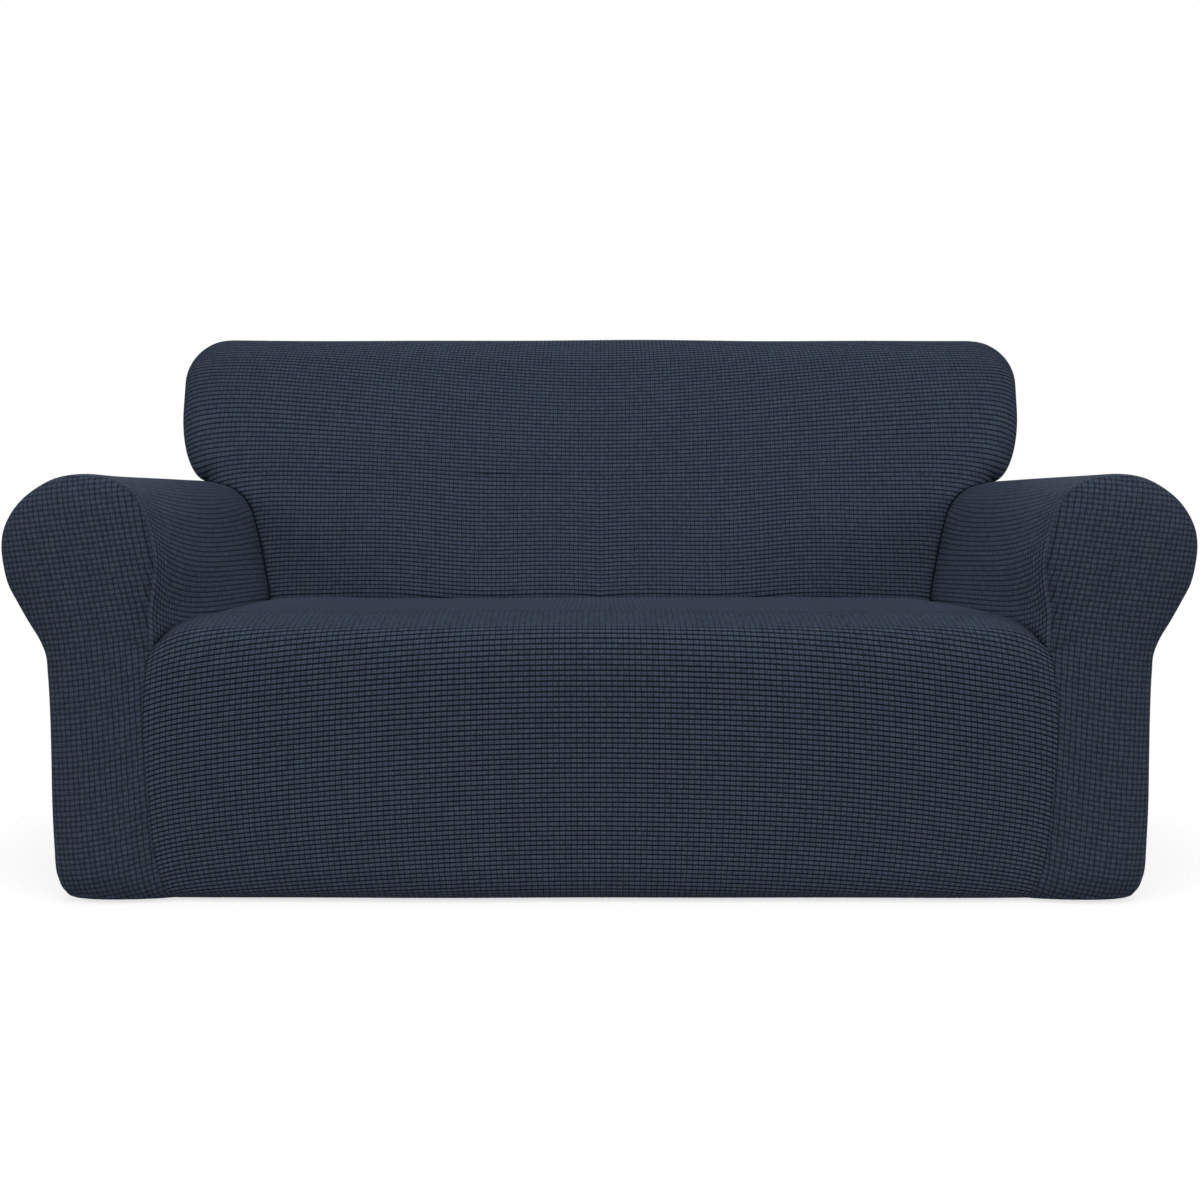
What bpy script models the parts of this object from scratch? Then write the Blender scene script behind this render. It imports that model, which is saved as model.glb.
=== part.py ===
"""A fitted stretch slipcover for a two-seat sofa with rolled arms and a T-shaped back.

It is one layer of cloth cut as seven panels: the seat with the front skirt, the inside
back with its crest and wing sides, the outer back, two arm covers and two arm fronts.
The sofa inside is left out, so the cover is a hollow shell, open underneath between its
turned-in hems. Lengths are metres. Sizes are written from the floor line at the middle
of the front (x to the right, y towards the rear, z up), and every finished panel is
moved so that the origin lies under the crest of the back, where a sofa back carries it.
"""

import math

import bpy
import numpy as np

CLOTH = 0.002            # thickness of the knitted cloth
SEAM_GAP = 0.0004        # parting between two panels along their seam
CREST_HEIGHT = 0.960     # top of the back
CREST_HOLD_Y = 0.810     # depth at which the sofa back carries the crest
WING_HALF = 0.875        # half width of the T-shaped back
WING_SIDE_Z = (0.808, 0.863)   # ends of the wing's straight side, between its two bends
WING_CORNER_X = 0.778    # where the top corner's bend meets the level crest
NOTCH_LEAN = math.radians(55.0)   # from upright: the way cloth faces where arm and wing meet
SEAT_BACK_Y = 0.600      # crease between seat and back, from the arm fronts
BACK_RECLINE = math.radians(10.0)
REAR_Y_FLOOR = 0.850     # rear panel at the floor
REAR_Y_CREST = 0.885     # rear panel at the crest
SEAT_SIDE_Z = 0.415      # seat seam along the arms, and its drop at the front corner
SEAT_CORNER_DROP = 0.042
SEAT_CORNER_LENGTH = 0.075
SEAT_MIDDLE_Z = 0.4217   # seat height away from the arms
SKIRT_SWELL_POWER = 7    # how late, towards its sides, the skirt's swell gives way to its seams
SEAT_DROP_POWER = 24     # and how late the seat drops to them
RIM = 0.012              # radius of the rounded edges where panels are joined
RIM_SEAM = RIM * (1 - math.sqrt(0.5))   # how far in the seam lies on that rounded edge
RIM_FLAT_Z = 0.03        # below this height the rounded edges die away into the hem
NOTCH_RELIEF = 0.0015    # the arm cover stops this much earlier at the tight rear notch
BACK_EDGE = 0.055        # radius of the soft front edge of the back
BACK_CROWN = 0.015       # how far the back swells forward at its middle
ARM_FRONT_SWELL = 0.0215 # how far an arm front swells from its rim seam
RIM_EASE = 0.018         # lengths over which a panel swells from a rim seam, and from the skirt's
SEAM_EASE = 0.030
REAR_SWELL = 0.012       # how far the rear panel swells

# The arm's section, from the seat seam over the roll to the hem: on the arm's front, and
# where it runs into the back. The arm climbs a little and opens towards the back.
ARM_SECTION = (
    # place           x_front  z_front  x_back   z_back
    ("seat seam",     0.6670,  0.3730,  0.6613,  0.4150),
    ("inner foot",    0.6690,  0.4330,  0.6650,  0.4430),
    ("inner low",     0.6635,  0.4730,  0.6715,  0.4730),
    ("inner side",    0.6616,  0.5080,  0.6790,  0.5080),
    ("inner roll 1",  0.6645,  0.5330,  0.6855,  0.5350),
    ("inner roll 2",  0.6720,  0.5640,  0.6945,  0.5650),
    ("inner roll 3",  0.6820,  0.5910,  0.7055,  0.5970),
    ("inner roll 4",  0.6970,  0.6145,  0.7205,  0.6205),
    ("inner roll 5",  0.7220,  0.6315,  0.7440,  0.6400),
    ("crest",         0.7570,  0.6385,  0.7760,  0.6505),
    ("notch",         0.7950,  0.6370,  0.8106,  0.6543),
    ("outer roll 1",  0.8195,  0.6305,  0.8380,  0.6450),
    ("outer roll 2",  0.8452,  0.6160,  0.8585,  0.6270),
    ("outer roll 3",  0.8660,  0.5985,  0.8740,  0.6060),
    ("outer roll 4",  0.8822,  0.5760,  0.8852,  0.5800),
    ("outer roll 5",  0.8914,  0.5530,  0.8918,  0.5540),
    ("outer roll 6",  0.8937,  0.5300,  0.8937,  0.5300),
    ("outer roll 7",  0.8905,  0.5020,  0.8905,  0.5020),
    ("outer roll 8",  0.8830,  0.4730,  0.8830,  0.4730),
    ("under roll 1",  0.8695,  0.4470,  0.8695,  0.4470),
    ("under roll 2",  0.8530,  0.4175,  0.8530,  0.4175),
    ("under roll 3",  0.8365,  0.3900,  0.8365,  0.3900),
    ("neck",          0.8280,  0.3680,  0.8280,  0.3680),
    ("outer side 1",  0.8257,  0.3430,  0.8257,  0.3430),
    ("outer side 2",  0.8230,  0.2880,  0.8230,  0.2880),
    ("outer side 3",  0.8213,  0.2180,  0.8213,  0.2180),
    ("outer side 4",  0.8200,  0.1380,  0.8200,  0.1380),
    ("outer side 5",  0.8172,  0.0780,  0.8172,  0.0780),
    ("hem top",       0.8145,  0.0400,  0.8145,  0.0400),
    ("hem bend",      0.8062,  0.0140,  0.8062,  0.0140),
    ("hem fold",      0.7915,  0.0000,  0.7915,  0.0000),
    ("hem edge",      0.7650,  0.0000,  0.7650,  0.0000),
)

# How the front and rear faces turn in at the floor, from the hem's edge up.
HEM = (
    # place        inset   tilt_deg  swell_share
    ("hem edge",   0.056,  90.0,     0.0),
    ("hem fold",   0.030,  78.0,     0.5),
    ("hem bend",   0.010,  40.0,     0.9),
    ("hem top",    0.002,   8.0,     1.0),
)

# The front skirt from the hem's edge up to the seat's front edge: its seam with the arm
# front, and the line down its middle.
SKIRT = (
    # place        seam_x  seam_y   seam_z  middle_y  middle_z
    ("hem edge",   0.640,  0.0595,  0.000,   0.0595,  0.000),
    ("hem fold",   0.641,  0.0275,  0.000,   0.0262,  0.000),
    ("hem bend",   0.645,  0.0070,  0.014,   0.0040,  0.014),
    ("hem top",    0.654, -0.0020,  0.040,  -0.0060,  0.040),
    ("low 1",      0.662, -0.0065,  0.078,  -0.0110,  0.080),
    ("low 2",      0.6665, -0.0090, 0.115,  -0.0150,  0.118),
    ("low 3",      0.6685, -0.0105, 0.150,  -0.0175,  0.154),
    ("middle 1",   0.671, -0.0115,  0.185,  -0.0195,  0.190),
    ("middle 2",   0.6735, -0.0120, 0.220,  -0.0210,  0.226),
    ("middle 3",   0.676, -0.0120,  0.250,  -0.0220,  0.260),
    ("high 1",     0.6768, -0.0115, 0.280,  -0.0225,  0.295),
    ("high 2",     0.677, -0.0105,  0.310,  -0.0220,  0.335),
    ("high 3",     0.6745, -0.0070, 0.345,  -0.0180,  0.374),
)
FRONT_EDGE_MIDDLE = ((-0.003, 0.408), (0.030, 0.4205))   # y, z: soft front edge of the seat

CREST_ROW = 9            # rows of ARM_SECTION
NOTCH_ROW = 10
LAST_ROW = len(ARM_SECTION) - 1
ARM_STEPS = (0.0, 0.25, 0.5, 0.75, 1.0)      # shares of the arm between its rim and the back
TAIL_STEPS = (0.0, 0.5, 1.0)                 # shares from the back's front edge to its rear rim
ACROSS = (0.0, 0.20, 0.40, 0.58, 0.73, 0.84, 0.91, 0.955, 0.983, 1.0)   # from middle to side
CORNER_COLUMNS = 3       # the last columns, which run up to the wing's top corner
ARM_ACROSS = (0.0, 0.07, 0.22, 0.42, 0.62, 0.80, 0.93, 1.0)     # over an arm front

CLOTH_COLOUR = (0.030, 0.041, 0.064, 1.0)    # deep navy
CLOTH_ROUGHNESS = 0.85


def columns(table):
    """The number columns of a table as arrays, without its place names."""
    return np.array([row[1:] for row in table], float).T


def arm_section(y):
    """x and z of every section row at depths y: front and back sections mixed by depth."""
    x_front, z_front, x_back, z_back = columns(ARM_SECTION)
    share = np.clip(y / SEAT_BACK_Y, 0, 1)
    x = x_front[:, None] + (x_back - x_front)[:, None] * share
    z = z_front[:, None] + (z_back - z_front)[:, None] * share
    z[0] = seat_seam_height(y[0])
    return x, z


def seat_seam_height(y):
    """Height of the seam between seat and arm: level, dropping softly at the front corner."""
    return SEAT_SIDE_Z - SEAT_CORNER_DROP * np.exp(-np.maximum(y, 0) / SEAT_CORNER_LENGTH)


def outward_in_plane(x, z):
    """Unit normals of a line of points in the x-z plane, to the left of its run."""
    dx, dz = np.gradient(x, axis=0), np.gradient(z, axis=0)
    length = np.hypot(dx, dz)
    return -dz / length, dx / length


def rear_depth(z):
    return REAR_Y_FLOOR + (REAR_Y_CREST - REAR_Y_FLOOR) * z / CREST_HEIGHT


def wing_outline():
    """The back's outline from the notch up round the wing and along the crest to x = 0.

    A quarter ellipse out of the notch, a short straight side, a quarter ellipse round
    the top corner, then the level crest. Returns x, z and the corner's index.
    """
    x_notch, z_notch = ARM_SECTION[NOTCH_ROW][3:5]
    wing_z, corner_z = WING_SIDE_Z
    low = np.radians((-90, -62, -38, -18, 0))
    high = np.radians((0, 17, 32, 45, 58, 73, 90))
    x = [x_notch + (WING_HALF - x_notch) * np.cos(low), WING_CORNER_X + (WING_HALF - WING_CORNER_X) * np.cos(high)]
    z = [wing_z + (wing_z - z_notch) * np.sin(low), corner_z + (CREST_HEIGHT - corner_z) * np.sin(high)]
    level = WING_CORNER_X * np.array(ACROSS[-CORNER_COLUMNS - 2::-1]) / ACROSS[-CORNER_COLUMNS - 1]
    x, z = np.concatenate(x + [level]), np.concatenate(z + [np.full(level.size, CREST_HEIGHT)])
    return x, z, low.size + CORNER_COLUMNS


def edge_distance(x, z, edge_x, edge_z):
    """Shortest distance from points to an open line of straight pieces."""
    ax, az = edge_x[:-1], edge_z[:-1]
    bx, bz = np.diff(edge_x), np.diff(edge_z)
    px, pz = x[..., None] - ax, z[..., None] - az
    along = np.clip((px * bx + pz * bz) / (bx * bx + bz * bz), 0, 1)
    return np.hypot(px - along * bx, pz - along * bz).min(axis=-1)


def back_depth(x, z):
    """Depth of the inside back: a reclined plane, crowned, rolling back at its free edge."""
    edge_x, edge_z, _ = wing_outline()
    d = np.clip(edge_distance(x, z, edge_x, edge_z), 0, BACK_EDGE)
    roll = BACK_EDGE - np.sqrt(BACK_EDGE ** 2 - (BACK_EDGE - d) ** 2)
    height = np.clip((z - SEAT_MIDDLE_Z) / (CREST_HEIGHT - SEAT_MIDDLE_Z), 0, 1)
    crown = BACK_CROWN * (1 - (x / WING_HALF) ** 2) * np.sin(math.pi * height)
    return SEAT_BACK_Y + math.tan(BACK_RECLINE) * (z - SEAT_SIDE_Z) - crown + roll


def rim_inset(distance):
    """How far a rounded edge has turned in, at a distance from the face it turns into."""
    d = np.clip(distance, 0, RIM)
    return RIM - np.sqrt(RIM ** 2 - (RIM - d) ** 2)


def hem_columns(count):
    """Inset, tilt and swell share of every row that starts at the hem's edge."""
    inset, tilt, swell = columns(HEM)
    rest = count - inset.size
    return (np.append(inset, np.zeros(rest)), np.radians(np.append(tilt, np.zeros(rest))),
            np.append(swell, np.ones(rest)))


def arm_surface():
    """Arm cover as rows (section) by columns (depth), and the columns' index of the crease.

    Each row runs from the front rim to the back's crease and on to the rear rim, and
    turns in at both rims. Rows up to the notch stop at the crease.
    """
    rows = LAST_ROW + 1
    inset, _, _ = hem_columns(rows)
    inset = inset[::-1]
    x_back, z_back = columns(ARM_SECTION)[2:4]
    crease = back_depth(x_back[:NOTCH_ROW + 1], z_back[:NOTCH_ROW + 1])
    crease = np.append(crease, np.full(rows - crease.size, crease[-1]))
    rear = rear_depth(z_back) - inset
    steps, tail = np.array(ARM_STEPS), np.array(TAIL_STEPS[1:])
    body = inset[:, None] + RIM + (crease - inset - RIM)[:, None] * steps
    tails = crease[:, None] + (rear - RIM - crease)[:, None] * tail
    y = np.hstack([inset[:, None] + RIM_SEAM, body, tails, rear[:, None] - RIM_SEAM])
    x, z = arm_section(y)
    out_x, out_z = outward_in_plane(x, z)
    out_x[NOTCH_ROW], out_z[NOTCH_ROW] = notch_normal()
    turn = rim_inset(y - inset[:, None]) + rim_inset(rear[:, None] - y)
    turn = turn * np.clip(z / RIM_FLAT_Z, 0, 1)
    points = np.stack([x - out_x * turn, y, z - out_z * turn], axis=-1)
    return points, out_x, out_z, steps.size


def notch_normal():
    """Direction in the x-z plane that both arm and wing turn in from at the notch."""
    return math.sin(NOTCH_LEAN), math.cos(NOTCH_LEAN)


def wing_strip(crease_depths):
    """Wing side and crest: the outline carried from the front edge to the rear rim."""
    x, z, _ = wing_outline()
    front = back_depth(x, z)
    rear = rear_depth(z)
    out_x, out_z = outward_in_plane(x[::-1], z[::-1])
    out_x, out_z = out_x[::-1].copy(), out_z[::-1].copy()
    out_x[0], out_z[0] = notch_normal()
    out_x[-1], out_z[-1] = 0, 1
    tail = np.array(TAIL_STEPS)
    y = np.hstack([front[:, None] + (rear - RIM - front)[:, None] * tail, rear[:, None] - RIM_SEAM])
    y[0] = crease_depths
    turn = rim_inset(rear[:, None] - y)
    points = np.stack([x[:, None] - out_x[:, None] * turn, y, z[:, None] - out_z[:, None] * turn], axis=-1)
    hints = seam_hints(points.shape)
    hints[:, -1] = unit(np.stack([out_x, np.ones_like(x), out_z], axis=-1))
    return points, hints


def patch(bottom, top, middle, side):
    """A surface between four edge lines: each point mixes the facing edges, less the corners."""
    u = np.linspace(0, 1, bottom.shape[0])[None, :, None]
    v = np.linspace(0, 1, side.shape[0])[:, None, None]
    across = (1 - u) * middle[:, None] + u * side[:, None]
    up = (1 - v) * bottom[None] + v * top[None]
    corners = ((1 - v) * ((1 - u) * bottom[0] + u * bottom[-1]) + v * ((1 - u) * top[0] + u * top[-1]))
    return across + up - corners


def seam_hints(shape):
    """Room for the direction in which a point is thickened; zeros leave it to the surface."""
    return np.zeros(shape)


def unit(vectors):
    return vectors / np.linalg.norm(vectors, axis=-1, keepdims=True)


def mirrored(points):
    """A half panel (x >= 0, middle line first along axis 1) made whole."""
    other = points[:, :0:-1] * np.array((-1.0, 1.0, 1.0))
    return np.concatenate([other, points], axis=1)


def cloth_solid(name, grids, flip=False):
    """Makes one closed sheet from grids of (points, hints, skip), welded where they meet.

    The points are the sheet's outside. Every vertex is thickened inwards along the mean
    normal of its faces, or along its hint, so that panels meet in a mitre at a seam, and
    the sheet's rim is pulled back by half the parting between panels. The inside is
    split along the same diagonals as the outside, and the narrow wall between two rim
    points along one that the neighbouring panel picks too.
    """
    origin = np.array((0.0, CREST_HOLD_Y, CREST_HEIGHT - CLOTH))
    points, hints, faces, first = [], [], [], 0
    for grid, hint, skip in grids:
        rows, cols = grid.shape[:2]
        number = first + np.arange(rows * cols).reshape(rows, cols)
        quads = np.stack([number[:-1, :-1], number[:-1, 1:], number[1:, 1:], number[1:, :-1]], axis=-1)
        faces.append(quads[~skip] if skip is not None else quads.reshape(-1, 4))
        points.append(grid.reshape(-1, 3))
        hints.append(hint.reshape(-1, 3))
        first += rows * cols
    points, hints, faces = np.concatenate(points), np.concatenate(hints), np.concatenate(faces)
    _, keep, where = np.unique(np.round(points, 6), axis=0, return_index=True, return_inverse=True)
    where = where.reshape(-1)
    welded_hints = np.zeros((keep.size, 3))
    np.add.at(welded_hints, where, hints)
    faces, points = where[faces], points[keep]
    if flip:
        faces = faces[:, ::-1]
    used = np.unique(faces)
    renumber = np.full(points.shape[0], -1)
    renumber[used] = np.arange(used.size)
    faces, points, welded_hints = renumber[faces], points[used], welded_hints[used]
    loops = [[a for a, b in zip(face, np.roll(face, -1)) if a != b] for face in faces]
    loops = [loop for loop in loops if len(loop) > 2]

    normals = np.zeros_like(points)
    half_edges = {}
    for loop in loops:
        corner = points[loop]
        area = sum(np.cross(corner[k] - corner[0], corner[k + 1] - corner[0]) for k in range(1, len(loop) - 1))
        normals[loop] += area
        for a, b in zip(loop, loop[1:] + loop[:1]):
            half_edges[(a, b)] = area / np.linalg.norm(area)
    normals = unit(normals)
    hinted = np.linalg.norm(welded_hints, axis=1) > 0
    normals[hinted] = unit(welded_hints[hinted])

    border = [(edge, n) for edge, n in half_edges.items() if edge[::-1] not in half_edges]
    inward = np.zeros_like(points)
    for (a, b), n in border:
        along = points[b] - points[a]
        inward[[a, b]] += np.cross(n, along / np.linalg.norm(along))
    on_border = np.linalg.norm(inward, axis=1) > 0
    length = np.linalg.norm(inward[on_border], axis=1, keepdims=True)
    inward[on_border] *= SEAM_GAP / length ** 2
    outside = points + inward
    inside = outside - CLOTH * normals

    count = points.shape[0]
    solid = [[int(loop[0]), int(b), int(c)] for loop in loops for b, c in zip(loop[1:], loop[2:])]
    solid += [[a + count, c + count, b + count] for a, b, c in solid]
    for (a, b), _ in border:
        a, b = int(a), int(b)
        if tuple(points[a]) < tuple(points[b]):
            solid += [[b, a, b + count], [a, a + count, b + count]]
        else:
            solid += [[b, a, a + count], [b, a + count, b + count]]
    mesh = bpy.data.meshes.new(name)
    mesh.from_pydata((np.vstack([outside, inside]) - origin).tolist(), [], solid)
    mesh.validate()
    mesh.shade_smooth()
    mesh.set_sharp_from_angle(angle=math.radians(40))
    thing = bpy.data.objects.new(name, mesh)
    mesh.materials.append(cloth_material())
    bpy.data.collections["sofa slipcover"].objects.link(thing)
    return thing


def cloth_material():
    """One navy knit for every panel."""
    material = bpy.data.materials.get("navy knit")
    if material is None:
        material = bpy.data.materials.new("navy knit")
        material.use_nodes = True
        shader = material.node_tree.nodes["Principled BSDF"]
        shader.inputs["Base Color"].default_value = CLOTH_COLOUR
        shader.inputs["Roughness"].default_value = CLOTH_ROUGHNESS
        shader.inputs["Metallic"].default_value = 0.0
        material.diffuse_color = CLOTH_COLOUR
    return material


def make_arm_covers():
    """Inner arm, roll, outer side and hem, from the front rim to the crease and rear rim."""
    points, out_x, out_z, crease = arm_surface()
    _, tilt, _ = hem_columns(LAST_ROW + 1)
    tilt = tilt[::-1]
    hints = seam_hints(points.shape)
    for column, way in ((0, -1.0), (-1, 1.0)):
        face = np.stack([np.zeros_like(tilt), way * np.cos(tilt), -np.sin(tilt)], axis=-1)
        side = np.stack([out_x[:, column], np.zeros_like(tilt), out_z[:, column]], axis=-1)
        hints[:, column] = unit(face + side)
    rows, cols = np.indices((points.shape[0] - 1, points.shape[1] - 1))
    skip = (rows < NOTCH_ROW) & (cols >= crease)
    own = points.copy()
    own[NOTCH_ROW:NOTCH_ROW + 2, -1, 1] -= NOTCH_RELIEF
    for name, side, flip in (("arm_cover_right", 1.0, True), ("arm_cover_left", -1.0, False)):
        turn = np.array((side, 1.0, 1.0))
        cloth_solid(name, [(own * turn, hints * turn, skip)], flip)
    return points, hints, crease


def make_arm_fronts(arm_points, arm_hints):
    """Keyhole-shaped panels, swelling forward inside the arm's front rim and skirt seam."""
    rim, rim_hints = arm_points[:, 0], arm_hints[:, 0]
    inset, _, swell = hem_columns(LAST_ROW - CREST_ROW + 1)
    inset = RIM_SEAM + inset
    outer, outer_hints = rim[:CREST_ROW - 1:-1], rim_hints[:CREST_ROW - 1:-1]
    seam = skirt_seam()
    inner = np.vstack([seam, rim[:CREST_ROW + 1]])
    inner_hints = np.vstack([np.zeros_like(seam), rim_hints[:CREST_ROW + 1]])
    across = np.array(ARM_ACROSS)[None, :, None]
    points = inner[:, None] * (1 - across) + outer[:, None] * across
    rim_away = edge_distance(points[..., 0], points[..., 2], rim[:-1, 0], rim[:-1, 2])
    seam_away = edge_distance(points[..., 0], points[..., 2], seam[1:, 0], seam[1:, 2])
    swollen = inset[:, None] - ARM_FRONT_SWELL * swell[:, None]
    from_rim = (outer[:, None, 1] - swollen) * np.exp(-rim_away / RIM_EASE)
    from_seam = (inner[:, None, 1] - swollen) * np.exp(-seam_away / SEAM_EASE)
    points[..., 1] = swollen + np.maximum(from_rim, from_seam)
    points[0, :, 1] = seam[0, 1]
    points[:, 0], points[:, -1] = inner, outer
    hints = seam_hints(points.shape)
    hints[:, 0], hints[:, -1] = inner_hints, outer_hints
    for name, side, flip in (("arm_front_right", 1.0, False), ("arm_front_left", -1.0, True)):
        turn = np.array((side, 1.0, 1.0))
        cloth_solid(name, [(points * turn, hints * turn, None)], flip)


def skirt_seam():
    """The seam between skirt and arm front, from the hem's edge up to below the crotch."""
    return columns(SKIRT)[:3].T


def make_seat_skirt(arm_points, crease):
    """Seat top and front skirt: a middle line and two side seams, mixed late across."""
    middle_y, middle_z = columns(SKIRT)[3:]
    arm_side = arm_points[0, :crease + 1]
    side = np.vstack([skirt_seam(), arm_side])
    top_y = arm_side[2:, 1]
    edge = np.array(FRONT_EDGE_MIDDLE)
    middle = np.vstack([np.stack([middle_y, middle_z], axis=-1), edge,
                        np.stack([top_y, np.full(top_y.size, SEAT_MIDDLE_Z)], axis=-1)])
    across = np.array(ACROSS)
    points = np.empty((side.shape[0], across.size, 3))
    points[..., 0] = side[:, :1] * across
    for axis, power in ((1, SKIRT_SWELL_POWER), (2, SEAT_DROP_POWER)):
        share = across[None, :] ** power
        points[..., axis] = middle[:, axis - 1:axis] * (1 - share) + side[:, axis:axis + 1] * share
    whole = mirrored(points)
    cloth_solid("seat_skirt", [(whole, seam_hints(whole.shape), None)])
    return points[-1]


def make_inside_back(arm_points, crease, seat_rear):
    """T-shaped inside back between the arms and the wing outline, with its crest strip."""
    edge_x, edge_z, corner = wing_outline()
    arm_edge = arm_points[:NOTCH_ROW + 1, crease]
    side = np.vstack([arm_edge[:, (0, 2)], np.stack([edge_x, edge_z], axis=-1)[1:corner + 1]])
    top = np.stack([edge_x, edge_z], axis=-1)[:corner - 1:-1]
    bottom = seat_rear[:, (0, 2)]
    climb = (side[:, 1] - side[0, 1]) / (side[-1, 1] - side[0, 1])
    middle = np.stack([np.zeros_like(climb), bottom[0, 1] + climb * (top[0, 1] - bottom[0, 1])], axis=-1)
    flat = patch(bottom, top, middle, side)
    points = np.stack([flat[..., 0], back_depth(flat[..., 0], flat[..., 1]), flat[..., 1]], axis=-1)
    points[0, :, 1] = seat_rear[:, 1]
    points[:NOTCH_ROW + 1, -1] = arm_edge
    strip, hints = wing_strip(arm_points[NOTCH_ROW, crease:, 1])
    strip[0] = arm_points[NOTCH_ROW, crease:]
    strip[:corner + 1, 0] = points[NOTCH_ROW:, -1]
    strip[corner:, 0] = points[-1, ::-1]
    left = np.array((-1.0, 1.0, 1.0))
    whole = mirrored(points)
    cloth_solid("inside_back", [
        (whole, seam_hints(whole.shape), None),
        (strip, hints, None),
        ((strip * left)[::-1], (hints * left)[::-1], None),
    ])
    return strip, hints, corner


def make_outer_back(arm_points, arm_hints, strip, strip_hints, corner):
    """Rear panel inside the rear rims of the arms, wings and crest, with its hem."""
    side = np.vstack([arm_points[LAST_ROW:NOTCH_ROW:-1, -1], strip[:corner + 1, -1]])
    side_hints = np.vstack([arm_hints[LAST_ROW:NOTCH_ROW:-1, -1], strip_hints[:corner + 1, -1]])
    top, top_hints = strip[:corner - 1:-1, -1], strip_hints[:corner - 1:-1, -1]
    share = np.array(ACROSS)[:, None]
    bottom = side[0] * np.array((1.0, 0.0, 0.0)) * share + side[0] * np.array((0.0, 1.0, 1.0))
    middle = side * np.array((0.0, 1.0, 1.0))
    middle[:, 2] += (top[0, 2] - side[-1, 2]) * (side[:, 2] / side[-1, 2])
    middle[:, 1] += (top[0, 1] - side[-1, 1]) * (side[:, 2] / side[-1, 2])
    points = patch(bottom, top, middle, side)
    _, _, swell = hem_columns(side.shape[0])
    outline = np.vstack([side[1:], top[-2::-1]])
    d = edge_distance(points[..., 0], points[..., 2], outline[:, 0], outline[:, 2])
    points[..., 1] += REAR_SWELL * swell[:, None] * (1 - np.exp(-d / REAR_SWELL))
    hints = seam_hints(points.shape)
    hints[:, -1] = side_hints
    hints[-1] = top_hints
    cloth_solid("outer_back", [(mirrored(points), mirrored(hints), None)], True)


def main():
    for thing in list(bpy.data.objects):
        bpy.data.objects.remove(thing, do_unlink=True)
    cover = bpy.data.collections.new("sofa slipcover")
    bpy.context.scene.collection.children.link(cover)
    arm_points, arm_hints, crease = make_arm_covers()
    make_arm_fronts(arm_points, arm_hints)
    seat_rear = make_seat_skirt(arm_points, crease)
    strip, strip_hints, corner = make_inside_back(arm_points, crease, seat_rear)
    make_outer_back(arm_points, arm_hints, strip, strip_hints, corner)


main()
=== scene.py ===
"""The looks of a fitted stretch slipcover on a two-seat roll-arm sofa shape.

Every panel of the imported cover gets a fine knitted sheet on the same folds. Lengths are
metres. Panels are worked out from the floor line at the middle of the front (x to the
right, y towards the rear, z up) and then moved to the frame's origin under the crest.
"""

import math

import bmesh
import bpy
import numpy as np
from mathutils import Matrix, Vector


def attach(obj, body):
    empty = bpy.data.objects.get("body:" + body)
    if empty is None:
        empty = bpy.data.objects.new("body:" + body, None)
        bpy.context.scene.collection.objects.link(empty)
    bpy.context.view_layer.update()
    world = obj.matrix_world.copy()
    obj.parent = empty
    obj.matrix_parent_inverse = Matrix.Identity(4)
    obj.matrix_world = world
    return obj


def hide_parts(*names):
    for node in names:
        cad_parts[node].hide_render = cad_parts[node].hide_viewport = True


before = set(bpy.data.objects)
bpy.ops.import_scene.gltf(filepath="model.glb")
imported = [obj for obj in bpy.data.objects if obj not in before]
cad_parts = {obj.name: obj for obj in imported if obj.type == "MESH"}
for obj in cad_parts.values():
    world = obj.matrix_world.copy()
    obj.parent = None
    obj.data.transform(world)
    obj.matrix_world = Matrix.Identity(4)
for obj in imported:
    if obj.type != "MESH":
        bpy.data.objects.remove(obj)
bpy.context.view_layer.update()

# ---- Arm covers ------------------------------------------------------------------------
# One piece of stretch knit for each arm: up the inner arm from the seat, over the roll and
# down the outer side to a turned-in hem. It is sewn to the arm front round its front rim,
# to the seat along its foot, to the inside back in the crease and to the rear panel.
CREST_HEIGHT = 0.960
CREST_HOLD_Y = 0.810     # depth at which the sofa carries the crest
CLOTH = 0.002            # the cloth's thickness
ORIGIN = np.array((0.0, CREST_HOLD_Y, CREST_HEIGHT - CLOTH))
WING_HALF = 0.875        # from the middle to a wing's side
SEAT_BACK_Y = 0.600      # depth of the seat's rear line
BACK_RECLINE = math.radians(10.0)
REAR_Y_FLOOR = 0.850
REAR_Y_CREST = 0.885
SEAT_SIDE_Z = 0.415      # height of the seat along the arms
SEAT_CORNER_DROP = 0.042
SEAT_CORNER_LENGTH = 0.075
SEAT_MIDDLE_Z = 0.4217
RIM = 0.012              # radius of the rounded rims at front and rear
RIM_SEAM = RIM * (1 - math.sqrt(0.5))
RIM_FLAT_Z = 0.03        # below this height the rims flatten into the hem
BACK_EDGE = 0.055        # radius of the inside back's free edge
BACK_CROWN = 0.015       # how far the back's middle swells forward

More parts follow.
